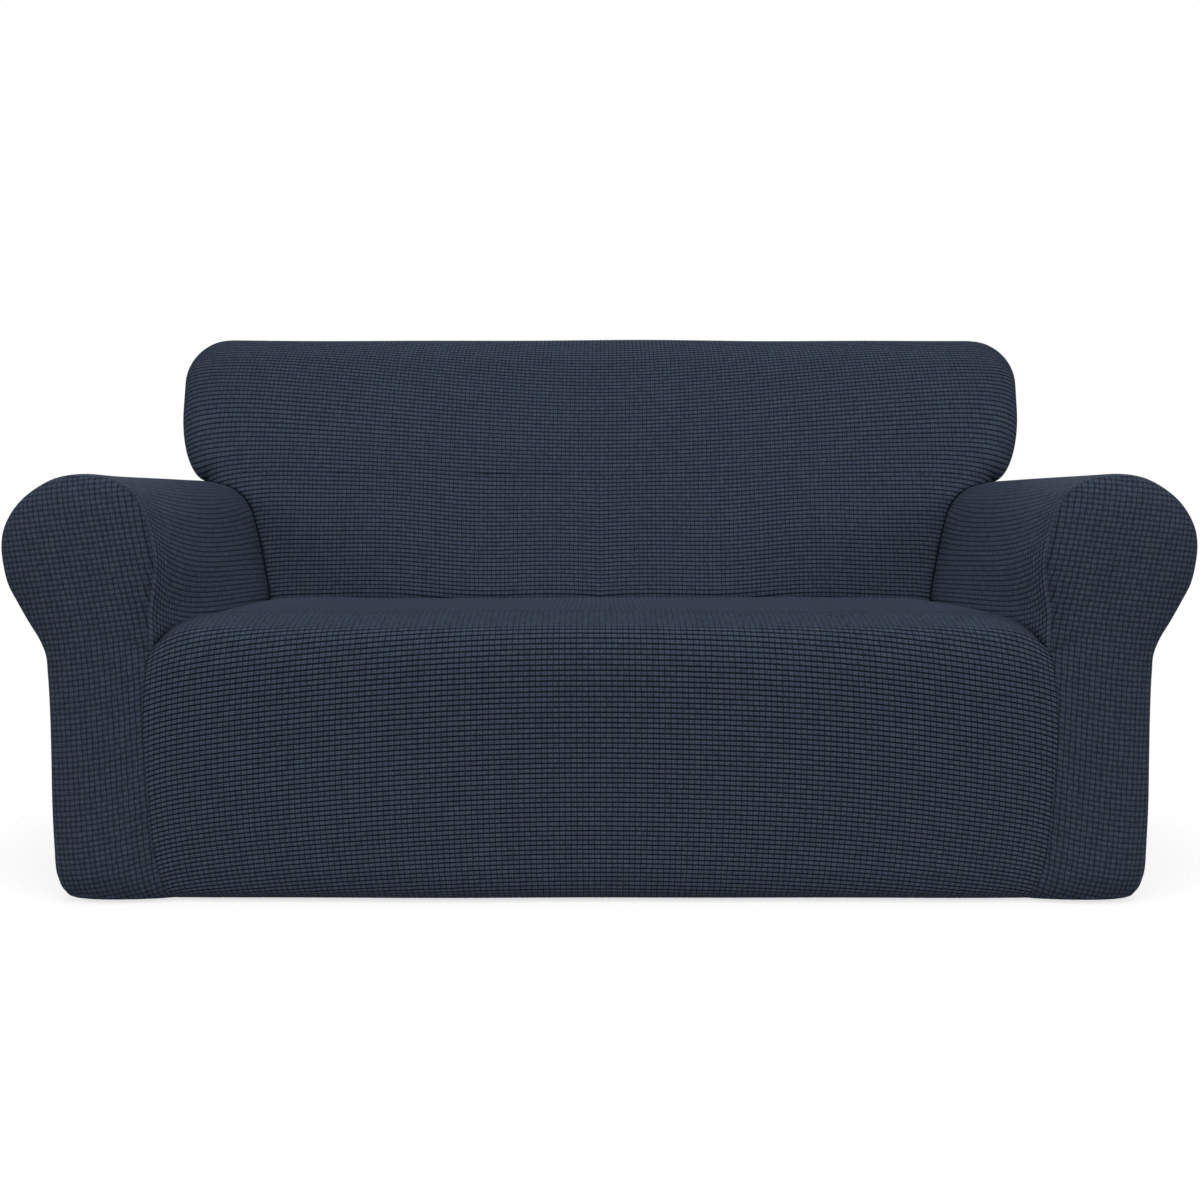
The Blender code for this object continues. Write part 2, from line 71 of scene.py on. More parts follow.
ARM_SECTION = (
    # place           x_front  z_front  x_back   z_back
    ("seat seam",     0.6670,  0.3730,  0.6613,  0.4150),
    ("inner foot",    0.6690,  0.4330,  0.6650,  0.4430),
    ("inner low",     0.6635,  0.4730,  0.6715,  0.4730),
    ("inner side",    0.6616,  0.5080,  0.6790,  0.5080),
    ("inner roll 1",  0.6645,  0.5330,  0.6855,  0.5350),
    ("inner roll 2",  0.6720,  0.5640,  0.6945,  0.5650),
    ("inner roll 3",  0.6820,  0.5910,  0.7055,  0.5970),
    ("inner roll 4",  0.6970,  0.6145,  0.7205,  0.6205),
    ("inner roll 5",  0.7220,  0.6315,  0.7440,  0.6400),
    ("crest",         0.7570,  0.6385,  0.7760,  0.6505),
    ("notch",         0.7950,  0.6370,  0.8106,  0.6543),
    ("outer roll 1",  0.8195,  0.6305,  0.8380,  0.6450),
    ("outer roll 2",  0.8452,  0.6160,  0.8585,  0.6270),
    ("outer roll 3",  0.8660,  0.5985,  0.8740,  0.6060),
    ("outer roll 4",  0.8822,  0.5760,  0.8852,  0.5800),
    ("outer roll 5",  0.8914,  0.5530,  0.8918,  0.5540),
    ("outer roll 6",  0.8937,  0.5300,  0.8937,  0.5300),
    ("outer roll 7",  0.8905,  0.5020,  0.8905,  0.5020),
    ("outer roll 8",  0.8830,  0.4730,  0.8830,  0.4730),
    ("under roll 1",  0.8695,  0.4470,  0.8695,  0.4470),
    ("under roll 2",  0.8530,  0.4175,  0.8530,  0.4175),
    ("under roll 3",  0.8365,  0.3900,  0.8365,  0.3900),
    ("neck",          0.8280,  0.3680,  0.8280,  0.3680),
    ("outer side 1",  0.8257,  0.3430,  0.8257,  0.3430),
    ("outer side 2",  0.8230,  0.2880,  0.8230,  0.2880),
    ("outer side 3",  0.8213,  0.2180,  0.8213,  0.2180),
    ("outer side 4",  0.8200,  0.1380,  0.8200,  0.1380),
    ("outer side 5",  0.8172,  0.0780,  0.8172,  0.0780),
    ("hem top",       0.8145,  0.0400,  0.8145,  0.0400),
    ("hem bend",      0.8062,  0.0140,  0.8062,  0.0140),
    ("hem fold",      0.7915,  0.0000,  0.7915,  0.0000),
    ("hem edge",      0.7650,  0.0000,  0.7650,  0.0000),
)
CREST_ROW = 9
NOTCH_ROW = 10
LAST_ROW = len(ARM_SECTION) - 1

# How front and rear faces turn in at the floor, from the hem's edge up.
HEM = (
    # place        inset   tilt_deg  swell_share
    ("hem edge",   0.056,  90.0,     0.0),
    ("hem fold",   0.030,  78.0,     0.5),
    ("hem bend",   0.010,  40.0,     0.9),
    ("hem top",    0.002,   8.0,     1.0),
    ("face 1",     0.000,   0.0,     1.0),
    ("face 2",     0.000,   0.0,     1.0),
)

ROWS_PER_STEP = 7        # fine rows for each row of a section
FOOT_ROWS = 15           # closer rows at the seat seam
ARM_COLUMNS = 105        # fine columns between the front rim and the crease
ARM_EASE = 0.8           # how far these draw together at both ends
TAIL_COLUMNS = 26        # fine columns between the crease and the rear rim
RIM_COLUMNS = 6          # fine columns round half a rim


def read_table(table, places):
    """A table's number columns at places counted in rows, whole or broken.

    Between two rows each column is a cubic that keeps both rows' slopes; a row's slope
    is the mean of its two chords' slopes, weighted by the other chord's length.
    """
    knots = np.array([row[1:] for row in table], float)
    chord = np.maximum(np.linalg.norm(np.diff(knots, axis=0), axis=1), 1e-6)[:, None]
    rise = np.diff(knots, axis=0) / chord
    inner = (rise[:-1] * chord[1:] + rise[1:] * chord[:-1]) / (chord[1:] + chord[:-1])
    slope = np.vstack([rise[:1], inner, rise[-1:]])
    low = np.clip(np.floor(places).astype(int), 0, len(knots) - 2)
    t = (np.asarray(places, float) - low)[:, None]
    span = chord[low]
    start = knots[low] * (1 + 2 * t) * (1 - t) ** 2 + slope[low] * span * t * (1 - t) ** 2
    end = knots[low + 1] * t * t * (3 - 2 * t) + slope[low + 1] * span * t * t * (t - 1)
    return (start + end).T


def graded(steps, ease):
    """Places from 0 to 1 in equal steps, drawn together at both ends by a sine wave."""
    t = np.linspace(0, 1, steps + 1)
    return t - ease * np.sin(2 * math.pi * t) / (2 * math.pi)


def seat_seam_height(y):
    """Height of the seam between seat and arm: level, dropping softly at the front corner."""
    return SEAT_SIDE_Z - SEAT_CORNER_DROP * np.exp(-np.maximum(y, 0) / SEAT_CORNER_LENGTH)


def arm_section(places, y):
    """x and z of the arm at section places and depths: front and back sections mixed.

    The lowest rows are shifted so that the first one follows the seat seam.
    """
    x_front, z_front, x_back, z_back = read_table(ARM_SECTION, places)
    share = np.clip(y / SEAT_BACK_Y, 0, 1)
    x = x_front[:, None] + (x_back - x_front)[:, None] * share
    z = z_front[:, None] + (z_back - z_front)[:, None] * share
    foot = np.clip(1 - places, 0, 1)[:, None] ** 2
    return x, z + (seat_seam_height(y) - z[0]) * foot


def outward_in_plane(x, z):
    """Unit normals of lines of points in the x-z plane, to the left of their run."""
    dx, dz = np.gradient(x, axis=0), np.gradient(z, axis=0)
    length = np.hypot(dx, dz)
    return -dz / length, dx / length


def rear_depth(z):
    """Depth of the rear face, which leans back a little towards the crest."""
    return REAR_Y_FLOOR + (REAR_Y_CREST - REAR_Y_FLOOR) * z / CREST_HEIGHT


def wing_outline():
    """The back's outline from the notch up round the wing and along the crest to x = 0.

    A quarter ellipse out of the notch, a short straight side, a quarter ellipse round
    the top corner, then the level crest. Returns x, z and the corner's index.
    """
    x_notch, z_notch = ARM_SECTION[NOTCH_ROW][3:5]
    wing_z, corner_z, corner_x = 0.808, 0.863, 0.778
    low_points, straight_points, high_points, crest_steps = 27, 10, 29, 64
    low = np.radians(np.linspace(-90, 0, low_points))
    high = np.radians(np.linspace(0, 90, high_points))
    straight = np.linspace(wing_z, corner_z, straight_points)[1:-1]
    level = corner_x * (1 - graded(crest_steps, 0.3)[1:])
    x = [x_notch + (WING_HALF - x_notch) * np.cos(low), np.full(straight.size, WING_HALF),
         corner_x + (WING_HALF - corner_x) * np.cos(high), level]
    z = [wing_z + (wing_z - z_notch) * np.sin(low), straight,
         corner_z + (CREST_HEIGHT - corner_z) * np.sin(high), np.full(level.size, CREST_HEIGHT)]
    return np.concatenate(x), np.concatenate(z), low.size + straight.size + high.size // 2


def nearest_on_line(points, line):
    """Distance from points to a line of straight pieces, and the place along it in pieces."""
    flat = points.reshape(-1, points.shape[-1]).astype(np.float32)
    start, step = line[:-1].astype(np.float32), np.diff(line, axis=0).astype(np.float32)
    best = np.full(len(flat), np.inf, np.float32)
    place = np.zeros(len(flat), np.float32)
    for number, (a, b) in enumerate(zip(start, step)):
        along = np.clip((flat - a) @ b / max(float(b @ b), 1e-12), 0, 1)
        gap = np.linalg.norm(flat - a - along[:, None] * b, axis=1)
        closer = gap < best
        best[closer] = gap[closer]
        place[closer] = number + along[closer]
    shape = points.shape[:-1]
    return best.reshape(shape).astype(float), place.reshape(shape).astype(float)


def back_depth(x, z):
    """Depth of the inside back: a reclined plane, crowned, rolling back at its free edge."""
    edge_x, edge_z, _ = wing_outline()
    away, _ = nearest_on_line(np.stack([x, z], axis=-1), np.stack([edge_x, edge_z], axis=-1))
    d = np.clip(away, 0, BACK_EDGE)
    roll = BACK_EDGE - np.sqrt(BACK_EDGE ** 2 - (BACK_EDGE - d) ** 2)
    height = np.clip((z - SEAT_MIDDLE_Z) / (CREST_HEIGHT - SEAT_MIDDLE_Z), 0, 1)
    crown = BACK_CROWN * (1 - (x / WING_HALF) ** 2) * np.sin(math.pi * height)
    return SEAT_BACK_Y + math.tan(BACK_RECLINE) * (z - SEAT_SIDE_Z) - crown + roll


def rim_inset(distance):
    """How far a rounded edge has turned in, at a distance from the face it turns into."""
    d = np.clip(distance, 0, RIM)
    return RIM - np.sqrt(RIM ** 2 - (RIM - d) ** 2)


def hem_at(places):
    """Inset, tilt and swell share at places counted in rows up from the hem's edge."""
    inset, tilt, swell = read_table(HEM, np.minimum(places, len(HEM) - 1))
    return np.maximum(inset, 0), np.radians(np.maximum(tilt, 0)), np.clip(swell, 0, 1)


def notch_normal():
    """Direction in the x-z plane that both arm and wing turn in from at the notch."""
    from_upright = math.radians(55)
    return math.sin(from_upright), math.cos(from_upright)


def arm_surface():
    """Arm cover: rows go round the section, columns from the front rim to the rear rim.

    Each row meets the back's crease at the same column, and turns in at both rims.
    Returns the rows' places, the points, their outward direction's x and z, the rows' tilt
    at a face, their length along the section, the notch's row and the crease's column.
    """
    foot = np.linspace(0, 1, FOOT_ROWS)[:-1] ** 1.4
    above_foot = np.arange(ROWS_PER_STEP, LAST_ROW * ROWS_PER_STEP + 1) / ROWS_PER_STEP
    places = np.concatenate([foot, above_foot])
    inset, tilt, _ = hem_at(LAST_ROW - places)
    _, _, x_back, z_back = read_table(ARM_SECTION, places)
    notch = int(np.searchsorted(places, NOTCH_ROW))
    crease = np.zeros(places.size)
    crease[:notch + 1] = back_depth(x_back[:notch + 1], z_back[:notch + 1])
    crease[notch + 1:] = crease[notch]
    rear = rear_depth(z_back) - inset
    rim = np.linspace(RIM_SEAM, RIM, RIM_COLUMNS + 1)
    body = graded(ARM_COLUMNS, ARM_EASE)[1:]
    tail = graded(TAIL_COLUMNS, 0.5)[1:]
    y = np.hstack([
        inset[:, None] + rim,
        inset[:, None] + RIM + (crease - inset - RIM)[:, None] * body,
        crease[:, None] + (rear - RIM - crease)[:, None] * tail,
        rear[:, None] - rim[-2::-1],
    ])
    x, z = arm_section(places, y)
    out_x, out_z = outward_in_plane(x, z)
    out_x[notch], out_z[notch] = notch_normal()
    turn = rim_inset(y - inset[:, None]) + rim_inset(rear[:, None] - y)
    turn = turn * np.clip(z / RIM_FLAT_Z, 0, 1)
    points = np.stack([x - out_x * turn, y, z - out_z * turn], axis=-1)
    length = np.cumsum(np.hypot(np.gradient(x, axis=0), np.gradient(z, axis=0)), axis=0)
    return places, points, out_x, out_z, tilt, length - length[0], notch, RIM_COLUMNS + ARM_COLUMNS


def unit(vectors):
    """Vectors scaled to length 1."""
    return vectors / np.linalg.norm(vectors, axis=-1, keepdims=True)


arm_places, arm_points, arm_out_x, arm_out_z, arm_tilt, arm_length, NOTCH, CREASE = arm_surface()
FRONT_RIM = arm_points[:, 0]
REAR_RIM = arm_points[NOTCH:, -1]
CREASE_LINE = arm_points[:NOTCH + 1, CREASE]
JUNCTION = arm_points[NOTCH, CREASE:]
SEAT_SIDE = arm_points[0, :CREASE + 1]


def rim_normals(column, way):
    """Mean outward normals of the cover and of the face it is sewn to, along a rim."""
    face = np.stack([np.zeros_like(arm_tilt), way * np.cos(arm_tilt), -np.sin(arm_tilt)], axis=-1)
    side = np.stack([arm_out_x[:, column], np.zeros_like(arm_tilt), arm_out_z[:, column]], axis=-1)
    return unit(face + side)


def seam_pulls():
    """Each seam as its line, its stitches' pull, how far that reaches, and its painted shade.

    The creases between seat, arms and back tuck deeply; the rims have a shallow groove.
    The creases of arms and back get the darkest painted shade, the seat's sides and the rims fainter.
    """
    tuck, groove = 0.0040, 0.0005
    corner_start, corner_length = 0.01, 0.06
    crease_out = [arm_out_x[:NOTCH + 1, CREASE], np.zeros(NOTCH + 1), arm_out_z[:NOTCH + 1, CREASE]]
    crease_pull = tuck * (np.array((0.0, 1.0, 0.0)) - 0.45 * np.stack(crease_out, axis=-1))
    notch_x, notch_z = notch_normal()
    junction_pull = np.tile((-0.7 * tuck * notch_x, 0.0, -0.7 * tuck * notch_z), (len(JUNCTION), 1))
    corner = np.clip((SEAT_SIDE[:, 1] - corner_start) / corner_length, 0, 1)[:, None]
    side_pull = tuck * corner * np.array((0.45, 0.0, -1.0))
    return [
        # line        pull                                      reach   dark
        (CREASE_LINE, crease_pull,                              0.0032, 1.0),
        (JUNCTION,    junction_pull,                            0.0045, 1.0),
        (SEAT_SIDE,   side_pull,                                0.0050, 0.3),
        (FRONT_RIM,   -groove * rim_normals(0, -1.0),           0.0028, 0.12),
        (REAR_RIM,    -groove * rim_normals(-1, 1.0)[NOTCH:],   0.0028, 0.25),
    ]


PULLS = seam_pulls()

# Slow waves that leave the cloth a little uneven over the sofa.
UNEVENNESS = (
    # axis  height  per_x  per_y  per_z  phase
    (0,     0.0007,  0.0,   9.1,   7.7,  0.4),
    (1,     0.0011,  7.1,   0.0,   9.3,  0.6),
    (1,     0.0008, 15.7,   0.0,  -6.1,  2.1),
    (1,     0.0006,  3.3,   0.0,  21.0,  4.0),
    (2,     0.0009,  6.3,   8.9,   0.0,  1.1),
    (2,     0.0006, 13.1, -11.7,   0.0,  3.0),
)
UNEVEN_FROM_Z = 0.1      # below this height the waves' lift fades out to the floor


def stretched(points):
    """Points drawn in along every seam, and the broad unevenness of cloth over a sofa.

    Both depend on a point's place alone, so panels that share a seam still meet on it.
    A pull dies away from its seam, and so does the painted shade, twice as fast. The unevenness
    is a sum of sine waves, about a millimetre high. Returns the points and their painted shade.
    """
    folded = points.copy()
    side = np.ones(points.shape)
    side[..., 0] = np.where(points[..., 0] < 0, -1.0, 1.0)
    half = points * side
    shade = np.zeros(points.shape[:-1])
    for line, pull, reach, dark in PULLS:
        away, place = nearest_on_line(half, line)
        low = np.clip(np.floor(place).astype(int), 0, len(line) - 2)
        part = (place - low)[..., None]
        way = pull[low] * (1 - part) + pull[low + 1] * part
        folded = folded + way * side * np.exp(-away / reach)[..., None]
        # Painted shade: the cloth is darkened along each seam and crease, where shade falls.
        shade = np.maximum(shade, dark * np.exp(-2 * away / reach))
    x, y, z = points[..., 0], points[..., 1], points[..., 2]
    broad = np.zeros(points.shape)
    for axis, height, per_x, per_y, per_z, phase in UNEVENNESS:
        broad[..., axis] += height * np.sin(per_x * x + per_y * y + per_z * z + phase)
    broad[..., 2] *= np.clip(z / UNEVEN_FROM_Z, 0, 1)
    return folded + broad, shade


WELD_DISTANCE = 2e-5


def knit_sheet(name, patches, flip=False):
    """Makes one panel from patches of (points, cloth, ribs, fade, light, keep), welded.

    Points are the cloth's outside on a grid, and cloth is each point's place on the flat
    cloth in metres. Ribs say how deep the knit's grooves are there: none at 0, and the
    knit's own depth at 1. Fade says how much fainter its columns are: 1 hides them, and
    below 0 they are deeper. Light is how light the knit is painted there, as painted light
    and shade over the panel. Keep says which grid cells stay, or is None for all. The
    wall's thickness goes inwards, and flip turns a grid that runs the other way round.
    Each point also keeps the painted shade of its seams, as the crease mark.
    """
    points, cloth, quads, first = [], [], [], 0
    # crease holds the painted shade along seams and creases, and light holds each point's painted light
    # and shade.
    marks = {"crease": [], "ribs": [], "fade": [], "light": []}
    for grid, flat, ribs, fade, light, keep in patches:
        drawn, shade = stretched(grid)
        number = first + np.arange(shade.size).reshape(shade.shape)
        cells = np.stack([number[:-1, :-1], number[:-1, 1:],
                          number[1:, 1:], number[1:, :-1]], axis=-1)
        quads.append(cells[keep] if keep is not None else cells.reshape(-1, 4))
        points.append(drawn.reshape(-1, 3))
        cloth.append(flat.reshape(-1, 2))
        for label, values in zip(marks, (shade, ribs, fade, light)):
            marks[label].append(np.broadcast_to(values, shade.shape).ravel())
        first += shade.size
    quads = np.concatenate(quads)
    quads = quads[:, ::-1] if flip else quads
    mesh = bpy.data.meshes.new(name)
    mesh.from_pydata(np.concatenate(points) - ORIGIN, [], quads)
    for label, values in marks.items():
        layer = mesh.attributes.new(label, "FLOAT", "POINT")
        layer.data.foreach_set("value", np.concatenate(values).astype(np.float32))
    layer = mesh.uv_layers.new(name="cloth")
    layer.data.foreach_set("uv", np.concatenate(cloth)[quads.ravel()].astype(np.float32).ravel())
    work = bmesh.new()
    work.from_mesh(mesh)
    bmesh.ops.remove_doubles(work, verts=work.verts, dist=WELD_DISTANCE)
    bmesh.ops.delete(work, geom=[v for v in work.verts if not v.link_faces], context="VERTS")
    work.to_mesh(mesh)
    work.free()
    mesh.shade_smooth()
    panel = bpy.data.objects.new(name, mesh)
    bpy.context.scene.collection.objects.link(panel)
    wall = panel.modifiers.new("cloth thickness", "SOLIDIFY")
    wall.thickness = CLOTH
    wall.offset = -1.0
    return panel


class Shade:
    """One socket in a material's tree. The operators add Math nodes."""

    def __init__(self, tree, socket=None):
        self.tree = tree
        self.socket = socket

    def node(self, kind, settings, values, output=0):
        """Adds a node: its settings first, then every socket's value or link."""
        new = self.tree.nodes.new(kind)
        for key, value in settings.items():
            setattr(new, key, value)
        for key, value in values.items():
            if isinstance(value, Shade):
                self.tree.links.new(value.socket, new.inputs[key])
            else:
                new.inputs[key].default_value = value
        return Shade(self.tree, new.outputs[output])

    def math(self, operation, *values):
        return self.node("ShaderNodeMath", {"operation": operation}, dict(enumerate(values)))

    def __add__(self, other):
        return self.math("ADD", self, other)

    def __sub__(self, other):
        return self.math("SUBTRACT", self, other)

    def __rsub__(self, other):
        return self.math("SUBTRACT", other, self)

    def __mul__(self, other):
        return self.math("MULTIPLY", self, other)

    def __truediv__(self, other):
        return self.math("DIVIDE", self, other)

    __radd__ = __add__
    __rmul__ = __mul__

    def rise(self, low, high):
        """0 below low, 1 above high, and a smooth step between."""
        return self.node("ShaderNodeMapRange", {"interpolation_type": "SMOOTHSTEP"},
                         {"Value": self, "From Min": low, "From Max": high})


def navy_knit(name, pitch, depth, softness=0.0, sway=0.20):
    """Navy stretch knit: raised cells between dark grooves, on the panel's own cloth map.

    Pitch and depth are each (of the columns, of the rows). A row groove is near black and
    a third of its pitch wide. A thinner groove parts a cell from its neighbours, and a
    fainter one divides it. Softness widens both and blurs their edges, and sway is how far
    they stray, in pitches. The grooves' relief is in the bump, and their dark colour is
    painted shade. A cell is painted a little lighter at its top, as light from above falls
    on it, and each half of it has its own slight shade and tint. The cloth's tint drifts
    from purple to green, fine yarns run along, and patches of it are a little paler.
    """
    column_pitch, row_pitch = pitch
    column_depth, row_depth = depth
    # The second colour is the groove colour: near black, as the shade that falls in the knit's grooves.
    raised, shaded_groove = (0.0430, 0.0525, 0.0860, 1.0), (0.0030, 0.0045, 0.0070, 1.0)
    greener = (0.89, 1.02, 0.85, 1.0)
    own_shade, yarn_shade, patch_shade, painted_top_light = 0.32, 0.22, 0.10, 0.16
    half_line_share, painted_crease_shade = 0.32, 0.8
    groove_relief, yarn_relief = 0.0009, 0.00016
    material = bpy.data.materials.new(name)
    material.use_nodes = True
    tree = material.node_tree
    shader = tree.nodes["Principled BSDF"]
    tool = Shade(tree)

    def noise(place, scale, detail):
        """Soft noise from 0 to 1."""
        return tool.node("ShaderNodeTexNoise", {}, {"Vector": place, "Scale": scale, "Detail": detail})

    def off_middle(place):
        """How far a place lies from the middle of its own pitch, from 0 to a half."""
        return tool.math("ABSOLUTE", tool.math("FRACT", place) - 0.5)

    def measured(label):
        """The sheet's own value of a name at each point."""
        return tool.node("ShaderNodeAttribute", {"attribute_name": label}, {}, 2)

    cloth = tool.node("ShaderNodeUVMap", {"uv_map": "cloth"}, {})
    wander = noise(cloth, 70.0, 1.0) - 0.5
    across = tool.node("ShaderNodeSeparateXYZ", {}, {0: cloth}, 0) / column_pitch + wander * sway
    up = tool.node("ShaderNodeSeparateXYZ", {}, {0: cloth}, 1) / row_pitch + wander * (sway / 2)
    row = off_middle(up).rise(0.26 - softness, 0.42 + softness / 2)
    column = off_middle(across).rise(0.33 - softness, 0.46 + softness / 4)
    half_line = off_middle(across * 2).rise(0.28, 0.48)
    number = tool.node("ShaderNodeCombineXYZ", {},
                       {0: tool.math("FLOOR", across * 2), 1: tool.math("FLOOR", up)})
    own = tool.node("ShaderNodeTexWhiteNoise", {"noise_dimensions": "2D"}, {"Vector": number})
    yarn_place = tool.node("ShaderNodeVectorMath", {"operation": "MULTIPLY"},
                           {0: cloth, 1: (900.0, 2600.0, 1.0)})
    yarn = noise(yarn_place, 1.0, 2.0)
    ribs = measured("ribs")

    columns = (ribs * 0.45 + 0.55) * (1 - measured("fade")) * column_depth
    open_cell = (1 - row * row_depth * ribs) * (1 - column * columns)
    open_cell = open_cell * (1 - half_line * columns * half_line_share)
    shades = (own - 0.5) * own_shade + (yarn - 0.5) * yarn_shade + 1
    shades = shades + (noise(cloth, 7.0, 2.0) - 0.5) * patch_shade
    # Painted light: each cell is a little lighter at its top, as if lit from above.
    shades = shades + (tool.math("FRACT", up) - 0.5) * painted_top_light
    # Painted light and shade: the crease mark darkens seams and creases as their shade, and the light
    # mark paints each panel lighter or darker.
    light = open_cell * shades * (1 - measured("crease") * painted_crease_shade) * measured("light")
    colour = tool.node("ShaderNodeMix", {"data_type": "RGBA", "clamp_factor": False},
                       {"Factor": light, 6: shaded_groove, 7: raised}, 2)
    green = own.rise(0.3, 0.95) * 0.45 + noise(cloth, 45.0, 2.0).rise(0.35, 0.65) * 0.55
    tinted = tool.node("ShaderNodeMix", {"data_type": "RGBA", "blend_type": "MULTIPLY"},
                       {"Factor": green, 6: colour, 7: greener}, 2)
    relief = open_cell * groove_relief + yarn * yarn_relief
    bump = tool.node("ShaderNodeBump", {}, {"Strength": 0.8, "Distance": 1.0, "Height": relief})
    tree.links.new(tinted.socket, shader.inputs["Base Color"])
    tree.links.new((0.92 - light * 0.12).socket, shader.inputs["Roughness"])
    tree.links.new(bump.socket, shader.inputs["Normal"])
    shader.inputs["Specular IOR Level"].default_value = 0.02
    return material


def dress(panel, node, material, area):
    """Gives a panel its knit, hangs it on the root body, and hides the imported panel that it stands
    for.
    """
    panel.data.materials.append(material)
    cloth = np.empty(len(panel.data.loops) * 2, np.float32)
    panel.data.uv_layers["cloth"].data.foreach_get("uv", cloth)
    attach(panel, "root")
    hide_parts(node)


def surface_area(points, keep=None):
    """Area of a grid's cells, each as the cross product of its diagonals halved."""
    cross = np.cross(points[1:, 1:] - points[:-1, :-1], points[1:, :-1] - points[:-1, 1:])
    cells = np.linalg.norm(cross, axis=-1) / 2
    return float(cells[keep].sum() if keep is not None else cells.sum())


def by_pairs(pairs, at):
    """Values read from a table of (place, value) pairs, with straight lines between them."""
    places, values = np.array(pairs).T
    return np.interp(at, places, values)


def make_arm_covers():
    """Rows of knit run along the arm, and climb steeply into the front seam.

    A row keeps its length along the section from the crest, less a rise that dies away
    behind the front rim and changes sign over the crest, so that the rows climb on both
    sides. Rows of the inner side fall a little to the rear, then climb to the crease.
    The cloth is drawn wide behind the front seam, so that columns lie further apart there,
    and on the inner side they are deeper too. The grooves are soft over the crest, and
    deepest low on the front edge. The inner side is painted lighter lower down, standing in
    for light, and painted with shade beside the crease and the front seam.
    """
    rise, rise_reach, crest_blend = 0.042, 0.085, 3.0
    crease_rise = (
        # place  rise
        (2.0,    0.0),
        (4.0,    0.018),
        (6.0,    0.030),
        (9.0,    0.0),
    )
    crease_reach = 0.40
    fall, fall_start = 0.03, 0.10
    front_stretch, stretch_reach = 0.38, 0.09
    edge_reach = 0.008
    crest = int(np.searchsorted(arm_places, CREST_ROW))
    place, y = arm_places[:, None], arm_points[..., 1]
    from_front = y - y[:, :1]
    from_crease = np.abs(y[:, CREASE:CREASE + 1] - y)
    at_edge = np.exp(-from_front / edge_reach)

    def inside(row, rows):
        """1 low on the inner side, falling to 0 at a row of the section over so many rows."""
        return np.clip((row - place) / rows, 0, 1)

    climb = rise * np.exp(-from_front / rise_reach) * np.tanh((CREST_ROW - place) / crest_blend)
    near_crease = np.clip(1 - from_crease / crease_reach, 0, 1) ** 2
    climb = climb + by_pairs(crease_rise, place) * near_crease
    fallen = fall * np.maximum(y - fall_start, 0) * inside(CREST_ROW, 4)
    along = arm_length - arm_length[crest] - climb + fallen
    stretch = front_stretch * stretch_reach * (1 - np.exp(-from_front / stretch_reach))
    cloth = np.stack([y - stretch, along], axis=-1)
    rows, columns = np.indices((arm_points.shape[0] - 1, arm_points.shape[1] - 1))
    keep = (rows >= NOTCH) | (columns < CREASE)
    ribs = 0.45 + 0.55 * np.clip(np.abs(place - CREST_ROW) / 4, 0, 1) ** 1.5
    ribs = ribs + 0.3 * np.exp(-from_front / 0.05) * inside(5, 3)
    ribs = ribs * (1 - 0.5 * at_edge)
    fade = -0.45 * np.exp(-from_front / 0.07) * inside(8.5, 2)
    # Painted light and shade: the inner side is lighter lower down, and darker beside the crease and
    # the front rim, as their shade.
    light = 0.89 + 0.60 * inside(7.5, 6)
    light = light * (1 - 0.4 * np.exp(-from_crease / 0.07) * inside(5.5, 2))
    light = light * (1 - 0.4 * np.exp(-from_crease / 0.015) * inside(8.5, 2))
    front_painted_shade = 0.13 * np.exp(-from_front / 0.040) + 0.20 * at_edge
    light = light * (1 - front_painted_shade * inside(8.5, 2))
    area = surface_area(arm_points, keep)
    knit = navy_knit("arm cover knit", (0.0095, 0.0085), (0.64, 0.60), -0.03)
    for side, name in ((1.0, "right"), (-1.0, "left")):
        turn = np.array((side, 1.0, 1.0))
        patches = [(arm_points * turn, cloth, ribs, fade, light, keep)]
        panel = knit_sheet(f"fine_arm_cover_{name}", patches, side > 0)
        dress(panel, f"arm_cover_{name}", knit, area)


make_arm_covers()

# ---- Arm fronts ------------------------------------------------------------------------
# Two keyhole-shaped panels of the same knit. Each is sewn round the arm's front rim and
# down the skirt's edge, swells forward over the arm's padding, and turns in at its hem.
SKIRT = (
    # place        seam_x  seam_y   seam_z  middle_y  middle_z
    ("hem edge",   0.640,  0.0595,  0.000,   0.0595,  0.000),
    ("hem fold",   0.641,  0.0275,  0.000,   0.0262,  0.000),
    ("hem bend",   0.645,  0.0070,  0.014,   0.0040,  0.014),
    ("hem top",    0.654, -0.0020,  0.040,  -0.0060,  0.040),
    ("low 1",      0.662, -0.0065,  0.078,  -0.0110,  0.080),
    ("low 2",      0.6665, -0.0090, 0.115,  -0.0150,  0.118),
    ("low 3",      0.6685, -0.0105, 0.150,  -0.0175,  0.154),
    ("middle 1",   0.671, -0.0115,  0.185,  -0.0195,  0.190),
    ("middle 2",   0.6735, -0.0120, 0.220,  -0.0210,  0.226),
    ("middle 3",   0.676, -0.0120,  0.250,  -0.0220,  0.260),
    ("high 1",     0.6768, -0.0115, 0.280,  -0.0225,  0.295),
    ("high 2",     0.677, -0.0105,  0.310,  -0.0220,  0.335),
    ("high 3",     0.6745, -0.0070, 0.345,  -0.0180,  0.374),
    ("crotch",     0.6705,  0.0035, 0.373,  -0.0030,  0.408),
    ("seat edge",  0.6670,  0.0120, 0.377,   0.0300,  0.4205),
    ("seat 1",     0.6645,  0.1590, 0.410,   0.1590,  0.4217),
    ("seat 2",     0.6645,  0.3060, 0.414,   0.3060,  0.4217),
    ("seat 3",     0.6630,  0.4530, 0.415,   0.4530,  0.4217),
    ("seat rear",  0.6613,  0.6000, 0.415,   0.6000,  0.4217),
)
CROTCH_ROW = 13
SKIRT_STEPS = 6          # fine rows for each row of the skirt's table
FRONT_COLUMNS = 52       # fine columns across an arm front
